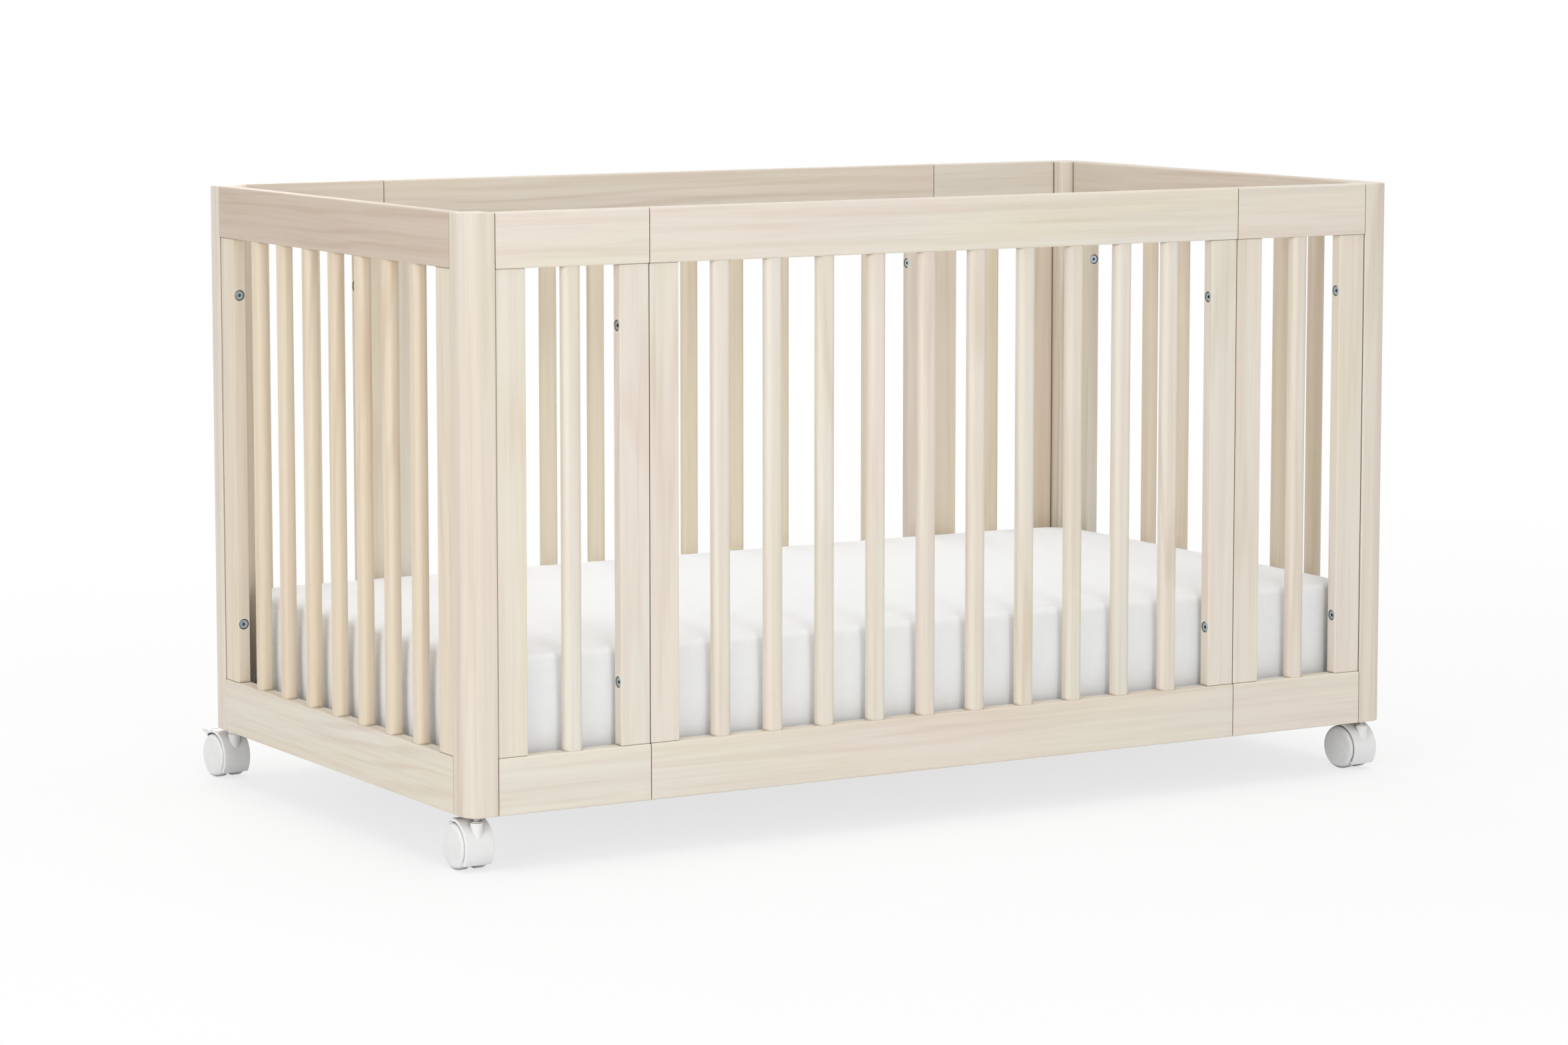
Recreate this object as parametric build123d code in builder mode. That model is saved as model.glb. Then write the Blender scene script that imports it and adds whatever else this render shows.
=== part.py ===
from build123d import *
import math
import os

os.makedirs("parts", exist_ok=True)

# A slatted wooden playpen on four swivel casters, with a mattress on a steel support.
# Millimetres, +Z up. The origin is on the floor under the middle of the wooden frame,
# +X runs along the long sides and the front is at -Y.

# ---- Wooden frame ----
interior_length = 1330.0
interior_width = 714.0
frame_height = 722.0
rail_thickness = 21.0
top_rail_height = 67.0
bottom_rail_height = 70.0
rail_edge_radius = 2.5
end_bevel = 0.8
post_side = 41.0
post_corner_radius = 20.0
post_edge_radius = 2.0
post_end_radius = 1.8
centre_panel_length = 874.0
assembly_gap = 0.8

stile_width = 40.0
stile_thickness = 17.0
stile_edge_radius = 1.5
stile_end_bevel = 0.6
spindle_width = 24.0
spindle_thickness = 17.0
spindle_edge_radius = 7.0
tenon_length = 14.0
glue_gap = 0.05
centre_spindle_count = 10
end_spindle_count = 7

# ---- Bolts, inserts and sleeve nuts ----
lower_bolt_height = 147.5
upper_bolt_drop = 141.0
bolt_diameter = 6.0
bolt_hole_clearance = 0.3
head_diameter = 12.5
head_height = 3.4
head_edge_radius = 0.8
socket_flats = 4.0
socket_depth = 2.2
counterbore_clearance = 0.8
counterbore_depth = 4.6
insert_diameter = 10.0
insert_length = 15.0
thread_gap = 0.05
insert_gap = 0.05
sleeve_diameter = 8.4
sleeve_length = 30.0
bolt_reach_in_sleeve = 20.0

# ---- Mattress and its steel support ----
mattress_end_gap = 9.5
mattress_side_gap = 11.0
mattress_thickness = 136.0
mattress_corner_radius = 55.0
mattress_edge_radius = 7.0
mattress_base_height = 50.0
rest_gap = 0.3
slat_width = 30.0
slat_thickness = 4.0
slat_count = 9
support_tube = 20.0
support_wall = 1.5
support_end_gap = 5.0
support_side_gap = 1.0
bracket_thickness = 3.0
bracket_shelf_length = 37.0
bracket_shelf_width = 52.0
bracket_flange_height = 55.0
bracket_flange_width = 18.0
bracket_bolt_height = 40.0

# ---- Casters ----
caster_height = 68.0
caster_trail = 24.0
wheel_diameter = 58.0
wheel_width = 15.0
wheel_outer_rounding = 6.5
wheel_inner_rounding = 1.0
wheel_rim_depth = 4.0
wheel_recess_depth = 8.0
wheel_hub_diameter = 16.0
wheel_bore_depth = 11.0
wheel_side_gap = 1.0
axle_diameter = 6.0
running_gap = 0.05
hood_inner_gap = 1.5
hood_wall = 3.5
hood_wheel_show = 2.0
hood_web_thickness = 10.0
hood_front_drop_angle = 38.0
hood_rear_angle = 65.0
hood_hub_radius = 9.0
hood_edge_radius = 1.1
boss_diameter = 16.0
boss_drop = 8.0
stem_diameter = 8.0
stem_length = 40.0
stem_hole_gap = 0.1
stem_neck_diameter = 9.0
stem_collar_diameter = 15.0
stem_collar_height = 1.8
journal_diameter = 6.0
journal_length = 26.0
journal_end_gap = 1.0

# Each caster's turn about its stem, in degrees, and whether it has a brake lever.
casters = {
    "front_left": {"side": (-1, -1), "turn": 0.5, "brake": False},
    "front_right": {"side": (1, -1), "turn": 6.0, "brake": False},
    "back_left": {"side": (-1, 1), "turn": 4.0, "brake": True},
    "back_right": {"side": (1, 1), "turn": 2.0, "brake": True},
}
lever_length = 17.0
lever_thickness = 4.4
lever_tip_thickness = 3.0
lever_side_gap = 0.4
lever_pin_diameter = 3.2
lever_pivot_radius = 34.7
lever_pivot_gap = 0.4
lever_ear_radius = 3.5
lever_ear_thickness = 2.8
lever_knuckle_radius = 3.2
shoe_start = 3.0
shoe_length = 4.0
shoe_drop = 6.9

# ---- Worked out from the sizes above ----
overall_length = interior_length + 2 * rail_thickness
overall_width = interior_width + 2 * rail_thickness
frame_bottom = caster_height
mattress_length = interior_length - 2 * mattress_end_gap
mattress_width = interior_width - 2 * mattress_side_gap
support_length = overall_length - 2 * post_side - 2 * support_end_gap
support_width = mattress_width - 2 * support_side_gap
rail_inset = rail_thickness / 2
post_centre_x = overall_length / 2 - post_side / 2
post_centre_y = overall_width / 2 - post_side / 2
side_run = overall_length - 2 * post_side
end_run = overall_width - 2 * post_side
corner_panel_length = (side_run - centre_panel_length) / 2
stile_height = frame_height - top_rail_height - bottom_rail_height
bolt_heights = (lower_bolt_height, frame_height - upper_bolt_drop)
bolt_hole_radius = bolt_diameter / 2 + bolt_hole_clearance
sleeve_hole_radius = sleeve_diameter / 2 + bolt_hole_clearance
counterbore_radius = head_diameter / 2 + counterbore_clearance
wheel_radius = wheel_diameter / 2
hood_inner_radius = wheel_radius + hood_inner_gap
hood_outer_radius = hood_inner_radius + hood_wall
wheel_start = hood_web_thickness / 2 + wheel_side_gap
wheel_end = wheel_start + wheel_width
hood_half_width = wheel_end - hood_wheel_show
boss_top = frame_bottom - boss_drop


def write(piece, label):
    """Names a finished sub-part and writes it to its own STEP file."""
    piece.label = label
    export_step(piece, f"parts/{label}.step")


# ---- Panels: a wall plane has its x along the run, its y up and its z outwards ----

walls = {
    "front": Plane(origin=(0, rail_inset - overall_width / 2, frame_bottom), x_dir=(1, 0, 0), z_dir=(0, -1, 0)),
    "back": Plane(origin=(0, overall_width / 2 - rail_inset, frame_bottom), x_dir=(-1, 0, 0), z_dir=(0, 1, 0)),
    "left_end": Plane(origin=(rail_inset - overall_length / 2, 0, frame_bottom), x_dir=(0, -1, 0), z_dir=(-1, 0, 0)),
    "right_end": Plane(origin=(overall_length / 2 - rail_inset, 0, frame_bottom), x_dir=(0, 1, 0), z_dir=(1, 0, 0)),
}


def level_plane(wall, run, height, up=1):
    """A horizontal plane on a wall's middle line, facing up or down, with its x along the run."""
    origin = wall.from_local_coords((run, height, 0))
    return Plane(origin=origin, x_dir=wall.x_dir, z_dir=wall.y_dir * up)


def bolt_plane(wall, run, facing):
    """A plane across a wall's run, with its x up, that faces along the run or against it."""
    origin = wall.from_local_coords((run, 0, 0))
    return Plane(origin=origin, x_dir=wall.y_dir, z_dir=wall.x_dir * facing)


def run_axis(wall):
    """The world axis that a wall's run follows."""
    return Axis.X if abs(wall.x_dir.X) > 0.5 else Axis.Y


def make_rail(label, wall, centre, length, bottom, height, spindle_places, mortises_up):
    """A rail with rounded long edges and a blind mortise for each spindle."""
    with BuildPart() as rail:
        with BuildSketch(wall):
            with Locations((centre, bottom + height / 2)):
                Rectangle(length, height)
        extrude(amount=rail_thickness / 2, both=True)
        fillet(rail.edges().filter_by(run_axis(wall)), rail_edge_radius)
        ends = rail.faces().filter_by(run_axis(wall))
        chamfer(ends.edges(), end_bevel)
        mouth = bottom + height if mortises_up else bottom
        with BuildSketch(level_plane(wall, 0, mouth, 1 if mortises_up else -1)):
            with Locations(*[(place, 0) for place in spindle_places]):
                RectangleRounded(
                    spindle_width + 2 * glue_gap,
                    spindle_thickness + 2 * glue_gap,
                    spindle_edge_radius + glue_gap,
                )
        extrude(amount=-tenon_length - glue_gap, mode=Mode.SUBTRACT)
    write(rail.part, label)


def make_stiles(label, wall, centre, length, hole_radii):
    """A panel's two stiles, each with two counterbored bolt holes that start at its inner edge."""
    with BuildPart() as stiles:
        for side, hole_radius in zip((-1, 1), hole_radii):
            middle = centre + side * (length - stile_width) / 2
            with BuildSketch(level_plane(wall, middle, bottom_rail_height)):
                RectangleRounded(stile_width, stile_thickness, stile_edge_radius)
            extrude(amount=stile_height)
        chamfer(stiles.edges().filter_by(Axis.Z, reverse=True), stile_end_bevel)
        for side, hole_radius in zip((-1, 1), hole_radii):
            middle = centre + side * (length - stile_width) / 2
            with Locations(bolt_plane(wall, middle - side * stile_width / 2, -side)):
                with Locations(*[(height, 0) for height in bolt_heights]):
                    CounterBoreHole(hole_radius, counterbore_radius, counterbore_depth, stile_width)
    write(stiles.part, label)


def make_spindles(label, wall, places):
    """Rounded spindles whose ends sit in the rails' mortises."""
    with BuildPart() as spindles:
        with BuildSketch(level_plane(wall, 0, bottom_rail_height - tenon_length)):
            with Locations(*[(place, 0) for place in places]):
                RectangleRounded(spindle_width, spindle_thickness, spindle_edge_radius)
        extrude(amount=stile_height + 2 * tenon_length)
    write(spindles.part, label)


def spaced_spindles(centre, length, count):
    """Places along a run that leave equal gaps between a panel's spindles and its stiles."""
    opening = length - 2 * stile_width
    pitch = (opening + spindle_width) / (count + 1)
    first = centre - pitch * (count - 1) / 2
    return [first + pitch * i for i in range(count)]


def make_panel(name, wall, centre, length, spindle_count, hole_radii):
    """A panel's rails and stiles. It returns the places of the panel's spindles."""
    places = spaced_spindles(centre, length, spindle_count)
    panel_length = length - assembly_gap
    top = frame_height - top_rail_height
    make_rail(f"{name}_bottom_rail", wall, centre, panel_length, 0, bottom_rail_height, places, True)
    make_rail(f"{name}_top_rail", wall, centre, panel_length, top, top_rail_height, places, False)
    make_stiles(f"{name}_stiles", wall, centre, panel_length, hole_radii)
    return places


# Each junction's bolt head is to its left as seen from the front, and its sleeve nut to its right.
corner_centre = (centre_panel_length + corner_panel_length) / 2
post_joint = bolt_hole_radius
for wall_name in ("front", "back"):
    wall = walls[wall_name]
    left = -1 if wall_name == "front" else 1
    side_places = []
    for name, centre, count, left_hole, right_hole in (
        ("left", left * corner_centre, 1, post_joint, bolt_hole_radius),
        ("centre", 0, centre_spindle_count, sleeve_hole_radius, bolt_hole_radius),
        ("right", -left * corner_centre, 1, sleeve_hole_radius, post_joint),
    ):
        length = centre_panel_length if name == "centre" else corner_panel_length
        holes = (left_hole, right_hole) if left < 0 else (right_hole, left_hole)
        side_places += make_panel(f"{wall_name}_{name}", wall, centre, length, count, holes)
    make_spindles(f"{wall_name}_spindles", wall, side_places)

for wall_name in ("left_end", "right_end"):
    wall = walls[wall_name]
    end_places = make_panel(wall_name, wall, 0, end_run, end_spindle_count, (post_joint, post_joint))
    make_spindles(f"{wall_name}_spindles", wall, end_places)


# ---- Posts ----

bracket_shelf_top = frame_bottom + mattress_base_height - rest_gap - slat_thickness - support_tube
bracket_bolt_z = bracket_shelf_top - bracket_thickness + bracket_bolt_height
bracket_bolt_y = overall_width / 2 - rail_thickness - (post_side - rail_thickness) / 2

for corner, caster in casters.items():
    side_x, side_y = caster["side"]
    inner_x = side_x * (overall_length / 2 - post_side)
    inner_y = side_y * (overall_width / 2 - post_side)
    across_x = Plane(origin=(inner_x, side_y * (overall_width / 2 - rail_inset), frame_bottom),
                     x_dir=(0, 0, 1), z_dir=(-side_x, 0, 0))
    across_y = Plane(origin=(side_x * (overall_length / 2 - rail_inset), inner_y, frame_bottom),
                     x_dir=(0, 0, 1), z_dir=(0, -side_y, 0))
    at_bracket = Plane(origin=(inner_x, side_y * bracket_bolt_y, bracket_bolt_z),
                       x_dir=(0, 0, 1), z_dir=(-side_x, 0, 0))
    with BuildPart() as post:
        with BuildSketch(Plane.XY.offset(frame_bottom)) as section:
            with Locations((side_x * post_centre_x, side_y * post_centre_y)):
                Rectangle(post_side, post_side)
            outermost = section.vertices().sort_by_distance((side_x * overall_length, side_y * overall_width))
            fillet(outermost[0], post_corner_radius)
            square_corners = section.vertices().sort_by_distance((side_x * overall_length, side_y * overall_width))
            fillet(square_corners[2:], post_edge_radius)
        extrude(amount=frame_height)
        fillet(post.edges().group_by(Axis.Z)[-1], post_end_radius)
        fillet(post.edges().group_by(Axis.Z)[0], post_end_radius)
        for panel_side in (across_x, across_y):
            with Locations(panel_side):
                with Locations(*[(height, 0) for height in bolt_heights]):
                    Hole(insert_diameter / 2 + insert_gap, insert_length + assembly_gap)
        with Locations(at_bracket):
            Hole(insert_diameter / 2 + insert_gap, insert_length + assembly_gap)
        with BuildSketch(Plane.XY.offset(frame_bottom)):
            with Locations((side_x * post_centre_x, side_y * post_centre_y)):
                Circle(stem_diameter / 2 + stem_hole_gap)
        extrude(amount=stem_length + stem_hole_gap, mode=Mode.SUBTRACT)
    write(post.part, f"post_{corner}")


# ---- Fasteners ----

def round_heads(part, seats):
    """Rounds the rims of the heads that stand on the given seats."""
    tops = [seat.offset(head_height) for seat in seats]
    rims = [
        edge for edge in part.edges().filter_by(GeomType.CIRCLE)
        if abs(edge.radius - head_diameter / 2) < 0.01
        and any(top.to_local_coords(edge.arc_center).length < 0.01 for top in tops)
    ]
    fillet(rims, head_edge_radius)


def make_bolts(label, seats, shank_length):
    """Round-headed bolts with hex sockets. Each seat plane faces away from its bolt's shank."""
    with BuildPart() as bolts:
        with BuildSketch(*seats):
            Circle(head_diameter / 2)
        extrude(amount=head_height)
        with BuildSketch(*seats):
            Circle(bolt_diameter / 2)
        extrude(amount=-shank_length)
        round_heads(bolts, seats)
        with BuildSketch(*[seat.offset(head_height) for seat in seats]):
            RegularPolygon(socket_flats / 2, 6, major_radius=False)
        extrude(amount=-socket_depth, mode=Mode.SUBTRACT)
    write(bolts.part, label)


# Every seat is given as (wall, run, facing, height): the seat faces into the panel's opening.
post_seats = []
junctions = []
for wall_name, wall in walls.items():
    half_run = (end_run if "end" in wall_name else side_run) / 2
    for side in (-1, 1):
        stile_inner_edge = side * (half_run - assembly_gap / 2 - stile_width)
        for height in bolt_heights:
            post_seats.append((wall, stile_inner_edge + side * counterbore_depth, -side, height))
    if "end" not in wall_name:
        for side in (-1, 1):
            for height in bolt_heights:
                junctions.append((wall, side * centre_panel_length / 2, height))

stile_remainder = stile_width - counterbore_depth
post_shank = stile_remainder + assembly_gap + insert_length - thread_gap


def seat_plane(wall, run, facing, height):
    """A bolt's seat plane at a height above the frame's bottom."""
    return bolt_plane(wall, run, facing).shift_origin(wall.from_local_coords((run, height, 0)))


make_bolts("post_bolts", [seat_plane(*seat) for seat in post_seats], post_shank)

with BuildPart() as threaded_inserts:
    mouths = [seat_plane(wall, run - facing * (stile_remainder + assembly_gap), facing, height)
              for wall, run, facing, height in post_seats]
    for caster in casters.values():
        side_x, side_y = caster["side"]
        mouths.append(Plane(
            origin=(side_x * (overall_length / 2 - post_side), side_y * bracket_bolt_y, bracket_bolt_z),
            x_dir=(0, 0, 1), z_dir=(-side_x, 0, 0),
        ))
    with BuildSketch(*mouths):
        Circle(insert_diameter / 2)
        Circle(bolt_diameter / 2 + thread_gap, mode=Mode.SUBTRACT)
    extrude(amount=-insert_length)
write(threaded_inserts.part, "threaded_inserts")

# A junction's seats lie a stile and its half of the gap away from the panels' meeting plane.
seat_offset = assembly_gap / 2 + stile_remainder


def junction_seats(wall, run, height):
    """The bolt's seat, to the left as seen from the front, and the sleeve nut's opposite it."""
    left = -1 if wall is walls["front"] else 1
    bolt_seat = seat_plane(wall, run + left * seat_offset, left, height)
    nut_seat = seat_plane(wall, run - left * seat_offset, -left, height)
    return bolt_seat, nut_seat


connector_shank = 2 * seat_offset - sleeve_length + bolt_reach_in_sleeve

make_bolts("connector_bolts", [junction_seats(*junction)[0] for junction in junctions], connector_shank)

nut_seats = [junction_seats(*junction)[1] for junction in junctions]
with BuildPart() as sleeve_nuts:
    with BuildSketch(*nut_seats):
        Circle(head_diameter / 2)
    extrude(amount=head_height)
    with BuildSketch(*nut_seats):
        Circle(sleeve_diameter / 2)
    extrude(amount=-sleeve_length)
    with BuildSketch(*[seat.offset(-sleeve_length) for seat in nut_seats]):
        Circle(bolt_diameter / 2 + thread_gap)
    extrude(amount=bolt_reach_in_sleeve + thread_gap, mode=Mode.SUBTRACT)
    round_heads(sleeve_nuts, nut_seats)
    with BuildSketch(*[seat.offset(head_height) for seat in nut_seats]):
        RegularPolygon(socket_flats / 2, 6, major_radius=False)
    extrude(amount=-socket_depth, mode=Mode.SUBTRACT)
write(sleeve_nuts.part, "sleeve_nuts")


# ---- Mattress support ----

mattress_bottom = frame_bottom + mattress_base_height
slat_top = mattress_bottom - rest_gap
tube_top = slat_top - slat_thickness
tube_middle = tube_top - support_tube / 2
side_tube_y = (support_width - support_tube) / 2
end_tube_x = (support_length - support_tube) / 2
end_tube_length = support_width - 2 * support_tube

with BuildPart() as support_frame:
    tube_inside = support_tube - 2 * support_wall
    with BuildSketch(Plane.YZ.offset(-support_length / 2)):
        with Locations((-side_tube_y, tube_middle), (side_tube_y, tube_middle)):
            Rectangle(support_tube, support_tube)
            Rectangle(tube_inside, tube_inside, mode=Mode.SUBTRACT)
    extrude(amount=support_length)
    with BuildSketch(Plane.XZ.offset(-end_tube_length / 2)):
        with Locations((-end_tube_x, tube_middle), (end_tube_x, tube_middle)):
            Rectangle(support_tube, support_tube)
            Rectangle(tube_inside, tube_inside, mode=Mode.SUBTRACT)
    extrude(amount=end_tube_length)
write(support_frame.part, "support_frame")

slat_span = support_length - slat_width
with BuildPart() as support_slats:
    with BuildSketch(Plane.XY.offset(tube_top)):
        with GridLocations(slat_span / (slat_count - 1), 0, slat_count, 1):
            Rectangle(slat_width, support_width)
    extrude(amount=slat_thickness)
write(support_slats.part, "support_slats")

bracket_inner_x = overall_length / 2 - post_side
bracket_outer_y = interior_width / 2 - (post_side - rail_thickness - bracket_flange_width) / 2

with BuildPart() as hanger_brackets:
    for caster in casters.values():
        side_x, side_y = caster["side"]
        shelf_middle = (
            side_x * (bracket_inner_x - (bracket_thickness + bracket_shelf_length) / 2),
            side_y * (bracket_outer_y - bracket_shelf_width / 2),
        )
        with BuildSketch(Plane.XY.offset(bracket_shelf_top)):
            with Locations(shelf_middle):
                Rectangle(bracket_thickness + bracket_shelf_length, bracket_shelf_width)
        extrude(amount=-bracket_thickness)
        flange_middle = (
            side_x * (bracket_inner_x - bracket_thickness / 2),
            side_y * (bracket_outer_y - bracket_flange_width / 2),
        )
        with BuildSketch(Plane.XY.offset(bracket_shelf_top - bracket_thickness)):
            with Locations(flange_middle):
                Rectangle(bracket_thickness, bracket_flange_width)
        extrude(amount=bracket_flange_height)
        hole_plane = Plane(
            origin=(side_x * (bracket_inner_x - bracket_thickness), side_y * bracket_bolt_y, bracket_bolt_z),
            x_dir=(0, 0, 1), z_dir=(-side_x, 0, 0),
        )
        with BuildSketch(hole_plane):
            Circle(bolt_hole_radius)
        extrude(amount=-bracket_thickness, mode=Mode.SUBTRACT)
write(hanger_brackets.part, "hanger_brackets")

hanger_seats = [
    Plane(origin=(side_x * (bracket_inner_x - bracket_thickness), side_y * bracket_bolt_y, bracket_bolt_z),
          x_dir=(0, 0, 1), z_dir=(-side_x, 0, 0))
    for side_x, side_y in (caster["side"] for caster in casters.values())
]
make_bolts("hanger_bolts", hanger_seats, bracket_thickness + insert_length - thread_gap)

with BuildPart() as mattress:
    with BuildSketch(Plane.XY.offset(mattress_bottom)):
        RectangleRounded(mattress_length, mattress_width, mattress_corner_radius)
    extrude(amount=mattress_thickness)
    fillet(mattress.edges().group_by(Axis.Z)[-1], mattress_edge_radius)
    fillet(mattress.edges().group_by(Axis.Z)[0], mattress_edge_radius)
write(mattress.part, "mattress")


# ---- Casters ----

def caster_planes(caster):
    """The stem plane on the floor, and the side plane at the axle: x to the rear, y up, z along the axle."""
    side_x, side_y = caster["side"]
    turn = math.radians(caster["turn"])
    along = Vector(math.cos(turn), math.sin(turn), 0)
    rearwards = Vector(-math.sin(turn), math.cos(turn), 0)
    foot = Vector(side_x * post_centre_x, side_y * post_centre_y, 0)
    stem_plane = Plane(origin=foot, x_dir=along, z_dir=(0, 0, 1))
    axle_centre = foot + rearwards * caster_trail + Vector(0, 0, wheel_radius)
    side_plane = Plane(origin=axle_centre, x_dir=rearwards, z_dir=along)
    return stem_plane, side_plane


hood_sweep = 180 + hood_front_drop_angle - hood_rear_angle
pivot_set_back = math.asin((lever_knuckle_radius + lever_pivot_gap) / lever_pivot_radius)
pivot_angle = math.radians(hood_rear_angle) - pivot_set_back
pivot = (lever_pivot_radius * math.cos(pivot_angle), lever_pivot_radius * math.sin(pivot_angle))
ear_root_radius = hood_wall / 2
ear_root_angle = math.radians(hood_rear_angle) + hood_wall / hood_outer_radius
ear_root = (
    (hood_inner_radius + ear_root_radius) * math.cos(ear_root_angle),
    (hood_inner_radius + ear_root_radius) * math.sin(ear_root_angle),
)
lever_half_width = hood_half_width - lever_ear_thickness - lever_side_gap

with BuildPart() as caster_stems:
    for caster in casters.values():
        stem_plane, side_plane = caster_planes(caster)
        for bottom, diameter, length in (
            (frame_bottom, stem_diameter, stem_length),
            (boss_top + rest_gap, stem_neck_diameter, boss_drop - rest_gap),
            (boss_top + rest_gap, stem_collar_diameter, stem_collar_height),
            (boss_top - journal_length, journal_diameter, journal_length + rest_gap),
        ):
            with BuildSketch(stem_plane.offset(bottom)):
                Circle(diameter / 2)
            extrude(amount=length)
write(caster_stems.part, "caster_stems")

for corner, caster in casters.items():
    stem_plane, side_plane = caster_planes(caster)

    with BuildPart() as hood:
        with BuildSketch(side_plane):
            with BuildLine():
                outer = CenterArc((0, 0), hood_outer_radius, hood_rear_angle, hood_sweep)
                inner = CenterArc((0, 0), hood_inner_radius - 0.5, hood_rear_angle, hood_sweep)
                Line(outer @ 0, inner @ 0)
                Line(outer @ 1, inner @ 1)
            make_face()
        extrude(amount=hood_half_width, both=True)
        with BuildSketch(side_plane):
            with BuildLine():
                rim = CenterArc((0, 0), hood_outer_radius - hood_wall / 2, hood_rear_angle, hood_sweep)
                Line((0, 0), rim @ 0)
                Line((0, 0), rim @ 1)
            make_face()
            Circle(hood_hub_radius)
        extrude(amount=hood_web_thickness / 2, both=True)
        with BuildSketch(stem_plane.offset(wheel_radius)):
            Circle(boss_diameter / 2)
        extrude(amount=boss_top - wheel_radius)
        if caster["brake"]:
            with BuildSketch(side_plane.offset(hood_half_width - lever_ear_thickness),
                             side_plane.offset(-hood_half_width)):
                with BuildLine():
                    CenterArc(pivot, lever_ear_radius, 0, 360)
                    CenterArc(ear_root, ear_root_radius, 0, 360)
                make_hull()
            extrude(amount=lever_ear_thickness, dir=side_plane.z_dir)
            with BuildSketch(side_plane):
                with Locations(pivot):
                    Circle(lever_pin_diameter / 2 + running_gap)
            extrude(amount=hood_half_width, both=True, mode=Mode.SUBTRACT)
        for facing in (-1, 1):
            with BuildSketch(side_plane.offset(facing * hood_web_thickness / 2)):
                Circle(hood_inner_radius)
            extrude(amount=hood_half_width, dir=side_plane.z_dir * facing, mode=Mode.SUBTRACT)
        with BuildSketch(side_plane):
            Circle(axle_diameter / 2)
        extrude(amount=hood_web_thickness, both=True, mode=Mode.SUBTRACT)
        with BuildSketch(stem_plane.offset(boss_top)):
            Circle(journal_diameter / 2 + running_gap)
        extrude(amount=-journal_length - journal_end_gap, mode=Mode.SUBTRACT)
        outer_rims = [
            edge for edge in hood.edges().filter_by(GeomType.CIRCLE)
            if abs(edge.radius - hood_outer_radius) < 0.01
            and abs(abs(side_plane.to_local_coords(edge.center()).Z) - hood_half_width) < 0.01
        ]
        fillet(outer_rims, hood_edge_radius)
    write(hood.part, f"caster_hood_{corner}")

    with BuildPart() as axle:
        with BuildSketch(side_plane):
            Circle(axle_diameter / 2)
        extrude(amount=wheel_start + wheel_bore_depth - running_gap, both=True)
    write(axle.part, f"caster_axle_{corner}")

    for name, facing in (("left", -1), ("right", 1)):
        profile_plane = Plane(origin=side_plane.origin, x_dir=side_plane.z_dir * facing,
                              z_dir=side_plane.x_dir * -facing)
        bore = axle_diameter / 2 + running_gap
        rim_inside = wheel_radius - wheel_rim_depth
        recess_end = wheel_start + wheel_recess_depth
        with BuildPart() as wheel:
            with BuildSketch(profile_plane) as profile:
                with BuildLine():
                    Polyline(
                        (wheel_start, bore),
                        (wheel_start, wheel_hub_diameter / 2),
                        (recess_end, wheel_hub_diameter / 2),
                        (recess_end, rim_inside),
                        (wheel_start, rim_inside),
                        (wheel_start, wheel_radius),
                        (wheel_end, wheel_radius),
                        (wheel_end, 0),
                        (wheel_start + wheel_bore_depth, 0),
                        (wheel_start + wheel_bore_depth, bore),
                        close=True,
                    )
                make_face()
                fillet(profile.vertices().sort_by_distance((wheel_end, wheel_radius))[0], wheel_outer_rounding)
                fillet(profile.vertices().sort_by_distance((wheel_start, wheel_radius))[0], wheel_inner_rounding)
            revolve(axis=Axis(side_plane.origin, side_plane.z_dir))
        write(wheel.part, f"caster_wheel_{corner}_{name}")

    if caster["brake"]:
        tip = (pivot[0] + lever_length, pivot[1] + lever_thickness / 2 - lever_tip_thickness)
        with BuildPart() as lever:
            with BuildSketch(side_plane):
                with BuildLine():
                    CenterArc(pivot, lever_knuckle_radius, 0, 360)
                    CenterArc(tip, lever_tip_thickness / 2, 0, 360)
                make_hull()
                with Locations((pivot[0] + shoe_start + shoe_length / 2, pivot[1] - shoe_drop / 2)):
                    Rectangle(shoe_length, shoe_drop)
            extrude(amount=lever_half_width, both=True)
            with BuildSketch(side_plane):
                with Locations(pivot):
                    Circle(lever_pin_diameter / 2)
            extrude(amount=hood_half_width, both=True)
        write(lever.part, f"brake_lever_{corner}")
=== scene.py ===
import math

import bmesh
import bpy
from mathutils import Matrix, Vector

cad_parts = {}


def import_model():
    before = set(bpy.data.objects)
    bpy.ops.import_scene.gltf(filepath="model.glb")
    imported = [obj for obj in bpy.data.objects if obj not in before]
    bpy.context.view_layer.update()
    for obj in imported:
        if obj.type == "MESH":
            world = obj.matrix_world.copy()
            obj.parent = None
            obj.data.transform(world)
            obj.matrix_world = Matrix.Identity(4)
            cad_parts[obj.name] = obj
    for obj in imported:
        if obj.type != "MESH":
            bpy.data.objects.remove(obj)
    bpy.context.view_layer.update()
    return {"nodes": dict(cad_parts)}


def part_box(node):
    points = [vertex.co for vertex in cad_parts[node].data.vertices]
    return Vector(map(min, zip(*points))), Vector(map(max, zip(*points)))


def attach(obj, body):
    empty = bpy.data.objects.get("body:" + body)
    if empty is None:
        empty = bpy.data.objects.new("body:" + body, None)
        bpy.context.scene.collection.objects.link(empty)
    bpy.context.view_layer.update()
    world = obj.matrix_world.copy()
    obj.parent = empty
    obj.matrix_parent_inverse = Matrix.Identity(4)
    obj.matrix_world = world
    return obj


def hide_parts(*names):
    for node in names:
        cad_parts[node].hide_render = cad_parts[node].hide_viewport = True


# A slatted wooden playpen on casters, with a sheeted mattress. In metres, in the frame of the CAD model.

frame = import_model()

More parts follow.
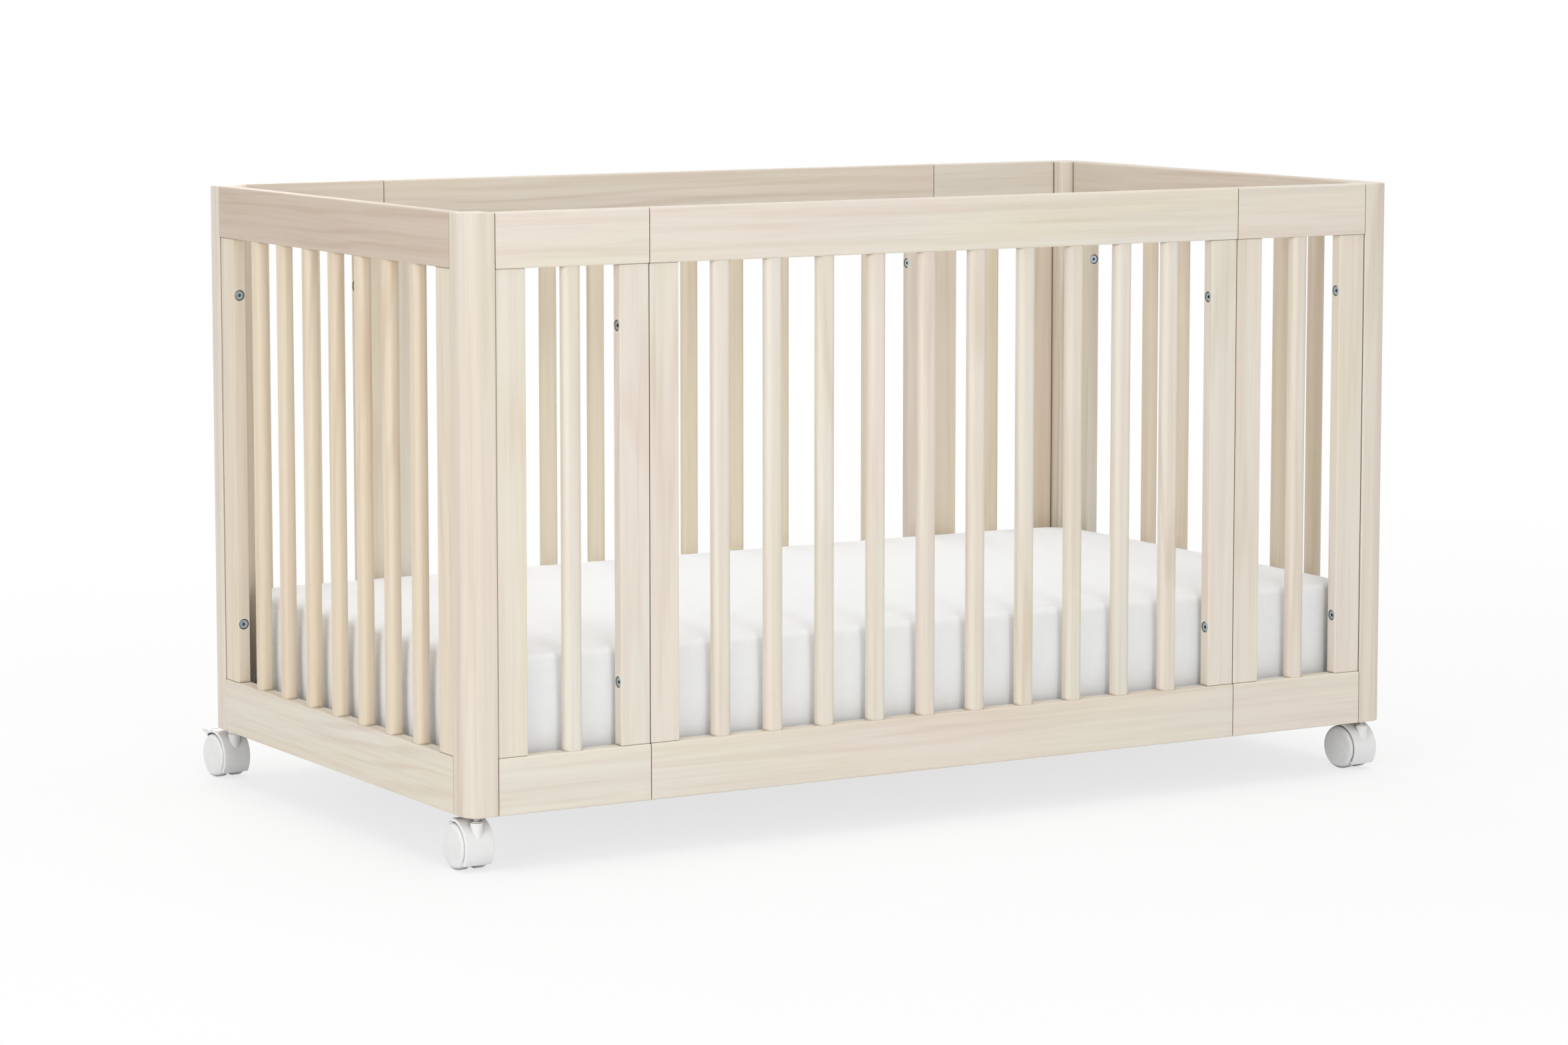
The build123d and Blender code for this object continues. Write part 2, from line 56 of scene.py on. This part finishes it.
# ---- Colours, in linear light ----
WOOD_PALE = (0.762, 0.720, 0.640)
WOOD_YELLOW = (0.765, 0.70, 0.56)
WOOD_PINK = (0.775, 0.685, 0.61)
WOOD_EDGE = (0.72, 0.59, 0.40)
WOOD_TAN = (0.60, 0.50, 0.41)
WOOD_HONEY = (0.79, 0.63, 0.42)
WOOD_CREAM = (0.82, 0.71, 0.52)
GRAIN_SHADE = (0.81, 0.72, 0.65)
# The dark brown of the painted shade in the wood's seams.
PAINTED_JOINT_SHADE = (0.20, 0.145, 0.095)
COTTON = (0.905, 0.922, 0.94)
CORE_CLOTH = (0.80, 0.81, 0.82)
CASTER_WHITE = (0.84, 0.84, 0.84)
# The grey of the painted shade in the grooves of the wheels' treads.
RIB_GROOVE_SHADE = (0.35, 0.35, 0.35)
# The dark grey of the painted shade in the creases of plastic.
PLASTIC_CREASE_SHADE = (0.16, 0.16, 0.17)
# The near black of the painted shade in the creases of metal.
METAL_CREASE_SHADE = (0.03, 0.03, 0.03)
STEEL = (0.57, 0.56, 0.55)
BOLT_STEEL = (0.46, 0.55, 0.61)
ZINC = (0.45, 0.44, 0.42)
POWDER_WHITE = (0.80, 0.80, 0.79)
FLOOR_PALE = (0.86, 0.86, 0.86)
WHITE = (1.0, 1.0, 1.0)

# Boards that took the wash differently: the colour that shows through, and how far. The left end's top rail
# is darkened further by it, as painted shade.
BOARD_TONE_AND_SHADE = {
    "post_front_left": (WOOD_TAN, 0.2),
    "post_front_right": (WOOD_TAN, 0.1),
    # Partly tone and partly painted shade: this rail's tan is deepened for the shade on the top of the left
    # end.
    "left_end_top_rail": (WOOD_TAN, 0.92),
    "right_end_top_rail": (WOOD_TAN, 0.5),
    "left_end_spindles": (WOOD_HONEY, 0.45),
    "right_end_spindles": (WOOD_HONEY, 0.35),
    "left_end_stiles": (WOOD_HONEY, 0.3),
    "back_left_top_rail": (WOOD_TAN, 0.3),
    "back_centre_top_rail": (WOOD_TAN, 0.3),
    "back_right_top_rail": (WOOD_TAN, 0.2),
    "back_spindles": (WOOD_CREAM, 0.5),
    "back_left_stiles": (WOOD_HONEY, 0.3),
    "back_right_stiles": (WOOD_HONEY, 0.3),
}
PLAIN_TONE = (WOOD_PALE, 0.0)

# ---- Patterns ----

# The wood's features per metre, across the grain and along it.
PORES = (900, 22)
FIBRES = (210, 7)
STREAKS = (90, 1.6)
WARM_PATCHES = (22, 2.6)
BLUSH_PATCHES = (15, 2.2)
RING_PATCHES = (6, 1.2)
RINGS = (1, 0.07)

# How each layer of the wood shows: its pattern's value where it starts, the value where it is full, and
# its share there.
WARMTH_SHOWS = (0.38, 0.68, 0.75)
BLUSH_SHOWS = (0.42, 0.70, 0.80)
STREAKS_SHOW = (0.45, 0.75, 0.42)
FIBRES_SHOW = (0.50, 0.80, 0.30)
RINGS_SHOW = (0.62, 1.00, 0.38)
RING_PATCHES_SHOW = (0.45, 0.65, 1.0)

# How far apart the patterns of two boards can lie along X, Y and Z, and what the blush and the rings
# multiply that by.
BOARD_SHIFT = (31.0, 47.0, 23.0)
BLUSH_SHIFT = -3.0
RING_SHIFT = 0.015

WOOD_ROUGHNESS = (0.46, 0.6)
POWDER_ROUGHNESS = (0.42, 0.52)
EASED_EDGE = 0.0022
EDGE_WEAR = 0.2
# How far from a neighbour the painted shade in seams and creases reaches on boards, plastic and metal, and
# how dark it is.
BOARD_SEAM_SHADE_REACH = 0.006
PLASTIC_SEAM_SHADE_REACH = 0.007
METAL_SEAM_SHADE_REACH = 0.006
SEAM_SHADE_DEPTH = 0.9
PLASTIC_SEAM_SHADE_DEPTH = 0.8

# The values that a noise mostly lies between, for a texture and for soft clouds.
NOISE_SPREAD = (0.3, 0.7)
CLOUD_SPREAD = (0.35, 0.7)

# The dot product of the true and the rounded normal at which an edge shows in full, and how much light
# reaches a crevice where its painted shade starts to show and where it is full.
FULL_EDGE = 0.86
CREVICE_SHADE_SHOWS = (0.78, 0.32)

# The sewn corners of the sheet: half the width of the line with and without its soft border, the length
# over which it ends, how far it shows, and how dark and how deep it is.
STITCH_HALF_WIDTH = (0.0024, 0.0010)
STITCH_END = 0.002
STITCH_SHOWS = 0.6
STITCH_SHADE = 0.6
STITCH_DEPTH = 6.0


# ---- Node helpers ----

def darker(colour, share):
    return tuple(channel * share for channel in colour)


class Graph:
    """The node tree of a material or a world, with short calls that add nodes and link them."""

    def __init__(self, owner):
        owner.use_nodes = True
        self.owner = owner
        self.nodes = owner.node_tree.nodes
        self.links = owner.node_tree.links

    def put(self, socket, value):
        """Sets a socket to a plain value, or links another node's output to it."""
        if isinstance(value, bpy.types.NodeSocket):
            self.links.new(value, socket)
        elif socket.type == "RGBA":
            socket.default_value = (*value, 1.0)
        else:
            socket.default_value = value

    def add(self, kind, **settings):
        """A new node. A setting that names an input, with _ for a space, sets that input."""
        node = self.nodes.new(kind)
        for key, value in settings.items():
            label = key.replace("_", " ")
            if label in node.inputs:
                self.put(node.inputs[label], value)
            else:
                setattr(node, key, value)
        return node

    def surface(self, **settings):
        """Sets inputs of the material's own shader, named as in add."""
        for key, value in settings.items():
            self.put(self.nodes["Principled BSDF"].inputs[key.replace("_", " ")], value)

    def coordinates(self, scale=(1, 1, 1), offset=(0, 0, 0)):
        """Object coordinates, in metres, stretched by a scale along each axis and then moved by an offset."""
        source = self.add("ShaderNodeTexCoord")
        return self.add("ShaderNodeMapping", Location=offset, Scale=scale,
                        Vector=source.outputs["Object"]).outputs["Vector"]

    def noise(self, scale, detail=3.0, roughness=0.5, distortion=0.0, offset=(0, 0, 0)):
        """Noise whose features per metre along each axis are given by scale."""
        return self.add("ShaderNodeTexNoise", Scale=1.0, Detail=detail, Roughness=roughness,
                        Distortion=distortion, Vector=self.coordinates(scale, offset)).outputs["Fac"]

    def bands(self, axis, scale):
        """Even waves along an axis, which turn through 20 radians per metre for each unit of scale."""
        return self.add("ShaderNodeTexWave", bands_direction=axis, Scale=scale,
                        Vector=self.coordinates()).outputs["Fac"]

    def span(self, value, low, high, new_low=0.0, new_high=1.0):
        """A value remapped from one range to another, and clamped."""
        node = self.add("ShaderNodeMapRange")
        for socket, number in zip(node.inputs[:5], (value, low, high, new_low, new_high)):
            self.put(socket, number)
        return node.outputs["Result"]

    def shows(self, pattern, start, full, share):
        """How far a layer shows: not at all at one value of its pattern, and by its share at another."""
        return self.span(pattern, start, full, 0.0, share)

    def math(self, operation, a, b=0.0):
        node = self.add("ShaderNodeMath", operation=operation)
        self.put(node.inputs[0], a)
        self.put(node.inputs[1], b)
        return node.outputs[0]

    def mix(self, factor, a, b, blend="MIX"):
        """One colour mixed into another."""
        node = self.add("ShaderNodeMix", data_type="RGBA", blend_type=blend)
        self.put(node.inputs["Factor"], factor)
        colours = [socket for socket in node.inputs if socket.type == "RGBA"]
        for socket, value in zip(colours, (a, b)):
            self.put(socket, value)
        return [socket for socket in node.outputs if socket.type == "RGBA"][0]

    def clouded(self, colour, cloud, share):
        """A colour that is darker by a share in the clouds."""
        return self.mix(self.span(cloud, *CLOUD_SPREAD), colour, darker(colour, share))

    def edges(self, radius, strength):
        """A mask of the convex and concave edges within a radius."""
        bevel = self.add("ShaderNodeBevel", samples=4, Radius=radius)
        dot = self.add("ShaderNodeVectorMath", operation="DOT_PRODUCT")
        self.put(dot.inputs[0], bevel.outputs["Normal"])
        self.put(dot.inputs[1], self.add("ShaderNodeNewGeometry").outputs["Normal"])
        return self.shows(dot.outputs["Value"], 1.0, FULL_EDGE, strength)

    def shaded_crevices(self, reach, strength):
        """A mask of painted shade at the places that lie within a reach of a neighbour, such as seams, from
        how little light reaches them.
        """
        near = self.add("ShaderNodeAmbientOcclusion", samples=6, Distance=reach)
        return self.shows(near.outputs["AO"], *CREVICE_SHADE_SHOWS, strength)

    def corner_seam(self, half_length, half_width, radius, top):
        """A mask of a thin upright line in the middle of each round corner of a box about the Z axis."""
        place = self.add("ShaderNodeSeparateXYZ", Vector=self.coordinates())
        beyond = [
            self.math("SUBTRACT", self.math("ABSOLUTE", place.outputs[axis]), half - radius)
            for axis, half in (("X", half_length), ("Y", half_width))
        ]
        aside = self.math("ABSOLUTE", self.math("SUBTRACT", *beyond))
        in_corner = self.span(self.math("MINIMUM", *beyond), 0.0, STITCH_END)
        line = self.math("MULTIPLY", in_corner, self.span(aside, *STITCH_HALF_WIDTH))
        return self.math("MULTIPLY", line, self.span(place.outputs["Z"], top, top - STITCH_END))

    def bump(self, height, distance, strength):
        node = self.add("ShaderNodeBump", Strength=strength, Distance=distance, Height=height)
        self.surface(Normal=node.outputs["Normal"])

    def seen_directly(self):
        """1 for what the camera, a reflection or a transmission sees, and 0 for other light."""
        path = self.add("ShaderNodeLightPath")
        seen = path.outputs["Is Camera Ray"]
        for name in ("Is Glossy Ray", "Is Transmission Ray"):
            seen = self.math("MAXIMUM", seen, path.outputs[name])
        return seen


# ---- Materials ----

def wood(name, grain, tone, amount):
    """Washed pine with its grain along X, Y or Z. The wash is thinner on the edges, so they are warmer. Seams
    and other places near a neighbour get painted shade.

    Each object takes its own part of the pattern. The tone and its amount give a board that took the
    wash differently, and on the left end's top rail also painted shade.
    """
    g = Graph(bpy.data.materials.new(name))

    def stretched(features):
        across, along = features
        return tuple(along if axis == grain else across for axis in "XYZ")

    def scaled(vector, factor):
        return g.add("ShaderNodeVectorMath", operation="SCALE", Vector=vector, Scale=factor).outputs["Vector"]

    random = g.add("ShaderNodeObjectInfo").outputs["Random"]
    x, y, z = (g.math("MULTIPLY", random, reach) for reach in BOARD_SHIFT)
    shift = g.add("ShaderNodeCombineXYZ", X=x, Y=y, Z=z).outputs["Vector"]
    pores = g.noise(stretched(PORES), detail=2, offset=shift)
    fibre = g.noise(stretched(FIBRES), detail=4, roughness=0.6, offset=shift)
    streak = g.noise(stretched(STREAKS), detail=3, roughness=0.6, distortion=0.4, offset=shift)
    warmth = g.noise(stretched(WARM_PATCHES), detail=2, offset=shift)
    blush = g.noise(stretched(BLUSH_PATCHES), detail=2, offset=scaled(shift, BLUSH_SHIFT))
    ring_patch = g.noise(stretched(RING_PATCHES), detail=1, offset=shift)
    rings = g.add("ShaderNodeTexWave", wave_type="RINGS", wave_profile="SIN", Scale=17.0, Distortion=7.0,
                  Detail=2.0, Detail_Scale=1.6,
                  Vector=g.coordinates(stretched(RINGS), scaled(shift, RING_SHIFT))).outputs["Fac"]

    colour = g.mix(g.shows(warmth, *WARMTH_SHOWS), WOOD_PALE, WOOD_YELLOW)
    colour = g.mix(g.shows(blush, *BLUSH_SHOWS), colour, WOOD_PINK)
    colour = g.mix(amount, colour, tone)
    late_wood = g.math("MULTIPLY", g.shows(rings, *RINGS_SHOW), g.shows(ring_patch, *RING_PATCHES_SHOW))
    for share in (g.shows(streak, *STREAKS_SHOW), late_wood, g.shows(fibre, *FIBRES_SHOW)):
        colour = g.mix(share, colour, GRAIN_SHADE, "MULTIPLY")
    colour = g.mix(g.edges(EASED_EDGE, EDGE_WEAR), colour, WOOD_EDGE)
    # Painted shade: seams and places near a neighbour are darkened towards a dark brown.
    colour = g.mix(g.shaded_crevices(BOARD_SEAM_SHADE_REACH, SEAM_SHADE_DEPTH), colour, PAINTED_JOINT_SHADE)
    g.surface(Base_Color=colour, Roughness=g.span(fibre, *NOISE_SPREAD, *WOOD_ROUGHNESS),
              Specular_IOR_Level=0.3)
    g.bump(g.math("ADD", pores, g.math("MULTIPLY", fibre, 1.5)), distance=0.00012, strength=0.5)
    return g.owner


def cotton(name, colour, weave_scale, seam_corner=None):
    """A plain weave of fine cotton.

    seam_corner is the half length, half width and corner radius of a box whose upright corners the
    cloth is sewn up at, and the height that the seams end at.
    """
    g = Graph(bpy.data.materials.new(name))
    warp, weft, rise = (g.bands(axis, weave_scale) for axis in "XYZ")
    weave = g.math("ADD", g.math("MULTIPLY", warp, weft), rise)
    slub = g.noise((90, 90, 90))
    cloth = g.mix(g.shows(slub, *NOISE_SPREAD, 0.5), colour, darker(colour, 0.965))
    height = g.math("ADD", weave, g.math("MULTIPLY", slub, 0.8))
    if seam_corner:
        seam = g.corner_seam(*seam_corner)
        cloth = g.mix(g.math("MULTIPLY", seam, STITCH_SHOWS), cloth, darker(colour, STITCH_SHADE))
        height = g.math("SUBTRACT", height, g.math("MULTIPLY", seam, STITCH_DEPTH))
    g.surface(Base_Color=cloth, Roughness=0.9, Specular_IOR_Level=0.2, Sheen_Weight=0.08)
    g.bump(height, distance=0.0002, strength=0.35)
    return g.owner


def plastic(name, colour, roughness, ribbed=False):
    """Moulded plastic with a faint flow texture and painted shade in its creases. Ribs run round a wheel's
    tread, about an axle along X, with painted shade in the grooves between them.
    """
    g = Graph(bpy.data.materials.new(name))
    flow = g.noise((70, 70, 70))
    grain = g.noise((1400, 1400, 1400), detail=1)
    # Painted shade: creases and places near a neighbour are darkened towards a dark grey.
    shade = g.mix(g.shaded_crevices(PLASTIC_SEAM_SHADE_REACH, PLASTIC_SEAM_SHADE_DEPTH), g.clouded(colour, flow, 0.95), PLASTIC_CREASE_SHADE)
    g.surface(Roughness=g.span(flow, *NOISE_SPREAD, roughness - 0.04, roughness + 0.06))
    if ribbed:
        normal = g.add("ShaderNodeSeparateXYZ", Vector=g.add("ShaderNodeTexCoord").outputs["Normal"])
        tread = g.span(g.math("ABSOLUTE", normal.outputs["X"]), 0.5, 0.25)
        groove = g.math("MULTIPLY", tread, g.span(g.bands("X", 32.0), 0.5, 0.15))
        # Painted shade: the grooves between the ribs are darkened towards grey.
        shade = g.mix(g.math("MULTIPLY", groove, 0.45), shade, RIB_GROOVE_SHADE)
        g.bump(g.math("SUBTRACT", g.math("MULTIPLY", grain, 0.1), groove), distance=0.0005, strength=0.6)
    else:
        g.bump(grain, distance=0.00004, strength=0.35)
    g.surface(Base_Color=shade)
    return g.owner


def metal(name, colour, roughness):
    """Plated steel with fine turning marks, and painted shade in its creases."""
    g = Graph(bpy.data.materials.new(name))
    marks = g.noise((900, 900, 250))
    shade = g.clouded(colour, g.noise((120, 120, 120), detail=2), 0.82)
    # Painted shade: creases and places near a neighbour are darkened towards near black.
    g.surface(Base_Color=g.mix(g.shaded_crevices(METAL_SEAM_SHADE_REACH, SEAM_SHADE_DEPTH), shade, METAL_CREASE_SHADE), Metallic=1.0,
              Roughness=g.span(marks, *NOISE_SPREAD, roughness - 0.05, roughness + 0.08))
    g.bump(marks, distance=0.00003, strength=0.4)
    return g.owner


def powder_coat(name, colour):
    """White powder coat with a fine orange-peel texture."""
    g = Graph(bpy.data.materials.new(name))
    peel = g.noise((650, 650, 650), detail=1)
    g.surface(Base_Color=g.clouded(colour, g.noise((40, 40, 40), detail=2), 0.96),
              Roughness=g.span(peel, *NOISE_SPREAD, *POWDER_ROUGHNESS))
    g.bump(peel, distance=0.00008, strength=0.5)
    return g.owner


# ---- Materials of the CAD nodes ----

white_plastic = plastic("white_plastic", CASTER_WHITE, 0.34)
wheel_plastic = plastic("wheel_plastic", CASTER_WHITE, 0.4, ribbed=True)
bright_steel = metal("bright_steel", STEEL, 0.3)
bolt_steel = metal("bolt_steel", BOLT_STEEL, 0.32)
dull_zinc = metal("dull_zinc", ZINC, 0.45)
powder_white = powder_coat("powder_white", POWDER_WHITE)
boards = {}


def board(name):
    """The wood of a board or post. Boards with the same grain and tone share a material."""
    grain = "Z"
    if name.endswith("rail"):
        grain = "Y" if "_end_" in name else "X"
    look = (grain, *BOARD_TONE_AND_SHADE.get(name, PLAIN_TONE))
    if look not in boards:
        boards[look] = wood(f"washed_wood_{len(boards)}", *look)
    return boards[look]


def material_of(name):
    if name.startswith(("caster_hood", "brake_lever")):
        return white_plastic
    if name.startswith("caster_wheel"):
        return wheel_plastic
    if name.startswith(("support", "hanger_brackets")):
        return powder_white
    if name == "threaded_inserts":
        return dull_zinc
    if name.startswith(("caster_axle", "caster_stems")):
        return bright_steel
    if name.endswith(("bolts", "nuts")):
        return bolt_steel
    return board(name)


def dress(thing, material):
    thing.data.materials.clear()
    thing.data.materials.append(material)


for name, node in frame["nodes"].items():
    dress(node, material_of(name))


# ---- The mattress: a foam core and a fitted sheet that is pulled over it ----

SHEET_THICKNESS = 0.0006
SHEET_GAP = 0.0004
SHEET_TUCK = 0.09
GRID = 0.022
SIDE_STEPS = 6
CORNER_RADIUS = 0.055
CORNER_STEPS = 6
RIM_WIDTH = 0.0065
RIM_SEGMENTS = 4
RIM_ANGLE = 50
PUFF_PRESSURE = 4.0
PUFF_CAP = 0.004
PUFF_FRAMES = 14
PUFF_QUALITY = 6
UNDERSIDE_NORMAL = -0.7

low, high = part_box("mattress")
centre = (low + high) / 2
half = (high - low) / 2


def new_object(name, data):
    thing = bpy.data.objects.new(name, data)
    bpy.context.scene.collection.objects.link(thing)
    return thing


def apply_modifiers(thing):
    """Makes the object's modifiers part of its mesh."""
    graph = bpy.context.evaluated_depsgraph_get()
    mesh = bpy.data.meshes.new_from_object(thing.evaluated_get(graph), depsgraph=graph)
    thing.modifiers.clear()
    thing.data = mesh


def shade_smooth(mesh):
    mesh.polygons.foreach_set("use_smooth", [True] * len(mesh.polygons))


def spaced(reach):
    """Places along one axis from -reach to reach, closer together in the corners."""
    flat = reach - CORNER_RADIUS
    steps = round(2 * flat / GRID)
    corner = [flat + CORNER_RADIUS * step / CORNER_STEPS for step in range(1, CORNER_STEPS + 1)]
    middle = [-flat + 2 * flat * step / steps for step in range(steps + 1)]
    return [-place for place in reversed(corner)] + middle + corner


def rounded(place, reach):
    """A point of the square outline, moved in to the round corners."""
    beyond = [max(abs(p) - r + CORNER_RADIUS, 0.0) for p, r in zip(place, reach)]
    if min(beyond) == 0.0:
        return place
    pull = max(beyond) / math.hypot(*beyond)
    return [math.copysign(r - CORNER_RADIUS + b * pull, p) for p, r, b in zip(place, reach, beyond)]


def outline_distance(place):
    """How far a point lies inside the mattress's outline, seen from above."""
    flat = [abs(place.x - centre.x), abs(place.y - centre.y)]
    beyond = [max(f - h + CORNER_RADIUS, 0.0) for f, h in zip(flat, half)]
    if min(beyond) > 0.0:
        return CORNER_RADIUS - math.hypot(*beyond)
    return min(h - f for f, h in zip(flat, half))


def mattress_body():
    """A closed even grid with round corners, swollen by simulated pressure between its rounded rims."""
    reach = [h - SHEET_THICKNESS - SHEET_GAP for h in half]
    columns, rows = spaced(reach[0]), spaced(reach[1])
    levels = [-reach[2] + 2 * reach[2] * step / SIDE_STEPS for step in range(SIDE_STEPS + 1)]
    mesh = bmesh.new()
    corners = {}

    def corner(x, y, z):
        """The vertex at a place, made once."""
        if (x, y, z) not in corners:
            corners[x, y, z] = mesh.verts.new(centre + Vector((*rounded((x, y), reach), z)))
        return corners[x, y, z]

    for across, along, point in (
        (columns, rows, lambda a, b, side: (a, b, side * reach[2])),
        (rows, levels, lambda a, b, side: (side * reach[0], a, b)),
        (levels, columns, lambda a, b, side: (b, side * reach[1], a)),
    ):
        for side in (-1, 1):
            for a0, a1 in zip(across, across[1:]):
                for b0, b1 in zip(along, along[1:]):
                    loop = [corner(*point(a, b, side)) for a, b in ((a0, b0), (a1, b0), (a1, b1), (a0, b1))]
                    mesh.faces.new(loop if side > 0 else loop[::-1])
    body = new_object("mattress_core", bpy.data.meshes.new("mattress_core"))
    mesh.to_mesh(body.data)
    mesh.free()
    puff(body)
    rim = body.modifiers.new("rim", "BEVEL")
    rim.width = RIM_WIDTH
    rim.segments = RIM_SEGMENTS
    rim.angle_limit = math.radians(RIM_ANGLE)
    smooth = body.modifiers.new("smooth", "SUBSURF")
    smooth.levels = smooth.render_levels = 1
    apply_modifiers(body)
    return body


def puff(body):
    """Swells the piece with cloth pressure. The rims stay, and no point moves further than the cap."""
    start = [vertex.co.copy() for vertex in body.data.vertices]
    near = 2 * SHEET_THICKNESS
    rim = [vertex.index for vertex in body.data.vertices
           if abs(abs(vertex.co.z - centre.z) - half.z) < near and outline_distance(vertex.co) < near]
    body.vertex_groups.new(name="rim").add(rim, 1.0, "REPLACE")
    cloth = body.modifiers.new("cloth", "CLOTH")
    cloth.settings.use_pressure = True
    cloth.settings.uniform_pressure_force = PUFF_PRESSURE
    cloth.settings.effector_weights.gravity = 0.0
    cloth.settings.vertex_group_mass = "rim"
    cloth.settings.quality = PUFF_QUALITY
    cloth.point_cache.frame_start = 1
    cloth.point_cache.frame_end = PUFF_FRAMES
    for step in range(1, PUFF_FRAMES + 1):
        bpy.context.scene.frame_set(step)
    apply_modifiers(body)
    bpy.context.scene.frame_set(1)
    body.vertex_groups.clear()
    for vertex, before in zip(body.data.vertices, start):
        move = vertex.co - before
        vertex.co = before + move * min(1.0, PUFF_CAP / max(move.length, PUFF_CAP))
        vertex.co.z = max(vertex.co.z, low.z + SHEET_THICKNESS + SHEET_GAP)


def fitted_sheet(body):
    """The sheet follows the core's top, sides and the rim of its underside."""
    sheet = new_object("fitted_sheet", body.data.copy())
    mesh = bmesh.new()
    mesh.from_mesh(sheet.data)
    mesh.normal_update()

    def is_open(face):
        """Whether a face of the underside lies inside the tucked border."""
        aside = face.calc_center_median() - centre
        return (face.normal.z < UNDERSIDE_NORMAL
                and abs(aside.x) < half.x - SHEET_TUCK and abs(aside.y) < half.y - SHEET_TUCK)

    bmesh.ops.delete(mesh, geom=[face for face in mesh.faces if is_open(face)], context="FACES")
    for vertex in mesh.verts:
        vertex.co += vertex.normal * SHEET_GAP
    mesh.to_mesh(sheet.data)
    mesh.free()
    shell = sheet.modifiers.new("shell", "SOLIDIFY")
    shell.thickness = SHEET_THICKNESS
    shell.offset = 1.0
    apply_modifiers(sheet)
    return sheet


core = mattress_body()
sheet = fitted_sheet(core)
core_cloth = cotton("core_cloth", CORE_CLOTH, weave_scale=60)
sheet_cotton = cotton("sheet_cotton", COTTON, weave_scale=120,
                      seam_corner=(half.x, half.y, CORNER_RADIUS, high.z - RIM_WIDTH / 2))
for piece, material in ((core, core_cloth), (sheet, sheet_cotton)):
    dress(piece, material)
    shade_smooth(piece.data)
    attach(piece, "mattress")
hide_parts("mattress")


# ---- Floor, light and camera ----

FLOOR_REACH = 40.0
# How far the floor is whitened for the camera near the object, and the distances from the middle
# between which it turns fully white.
FLOOR_WHITENING = 0.72
FLOOR_FADE = (0.9, 3.2)
AMBIENT = 0.52

# Each lamp's place, target, size and watts.
LAMPS = {
    "front_key": ((-0.9, -5.3, 1.5), (0, 0, 0.35), (1.3, 1.2), 50),
    "left_fill": ((-4.6, -2.4, 1.5), (0, 0, 0.4), (2.4, 2.0), 67),
    "back_fill": ((0.6, 5.0, 1.8), (0, 0, 0.4), (2.4, 2.0), 58),
    "top_fill": ((0.2, -0.4, 9.0), (0, 0, 0.3), (8.2, 6.4), 363),
}


def pale_floor():
    """A pale surface that the camera sees whitened, with the object's shadow on it."""
    g = Graph(bpy.data.materials.new("pale_floor"))
    g.surface(Base_Color=FLOOR_PALE, Roughness=0.9, Specular_IOR_Level=0.1)
    distance = g.add("ShaderNodeVectorMath", operation="LENGTH", Vector=g.coordinates())
    share = g.math("MULTIPLY", g.seen_directly(),
                   g.span(distance.outputs["Value"], *FLOOR_FADE, FLOOR_WHITENING, 1.0))
    mix = g.add("ShaderNodeMixShader", Fac=share)
    g.put(mix.inputs[1], g.nodes["Principled BSDF"].outputs[0])
    g.put(mix.inputs[2], g.add("ShaderNodeEmission", Color=WHITE).outputs[0])
    g.put(g.nodes["Material Output"].inputs["Surface"], mix.outputs[0])
    return g.owner


def floor():
    mesh = bpy.data.meshes.new("floor")
    corners = [(x * FLOOR_REACH, y * FLOOR_REACH, 0) for x, y in ((-1, -1), (1, -1), (1, 1), (-1, 1))]
    mesh.from_pydata(corners, [], [(0, 1, 2, 3)])
    thing = new_object("floor", mesh)
    mesh.materials.append(pale_floor())


def world():
    """A white backdrop for the camera, and soft even light for everything else."""
    g = Graph(bpy.data.worlds.new("studio"))
    bpy.context.scene.world = g.owner
    background = g.nodes["Background"]
    g.put(background.inputs["Color"], WHITE)
    g.put(background.inputs["Strength"], g.span(g.seen_directly(), 0.0, 1.0, AMBIENT, 1.0))


def area_light(name, place, target, size, watts):
    lamp = bpy.data.lights.new(name, "AREA")
    lamp.shape = "RECTANGLE"
    lamp.size, lamp.size_y = size
    lamp.energy = watts
    thing = new_object(name, lamp)
    thing.location = place
    thing.rotation_euler = (Vector(target) - Vector(place)).to_track_quat("-Z", "Y").to_euler()


def camera(place, yaw, pitch, lens, shift_y):
    """A camera turned to the right by yaw and down by pitch, in degrees, from a level look along Y."""
    data = bpy.data.cameras.new("camera")
    data.sensor_width = 36.0
    data.lens = lens
    data.shift_y = shift_y
    data.clip_end = 200.0
    thing = new_object("camera", data)
    thing.location = place
    thing.rotation_euler = (math.radians(90 - pitch), 0, math.radians(-yaw))
    bpy.context.scene.camera = thing


floor()
world()
for name, settings in LAMPS.items():
    area_light(name, *settings)
camera((-3.055, -5.108, 1.099), yaw=30.67, pitch=6.28, lens=103.4, shift_y=-0.05)

bpy.context.scene.view_settings.view_transform = "Standard"
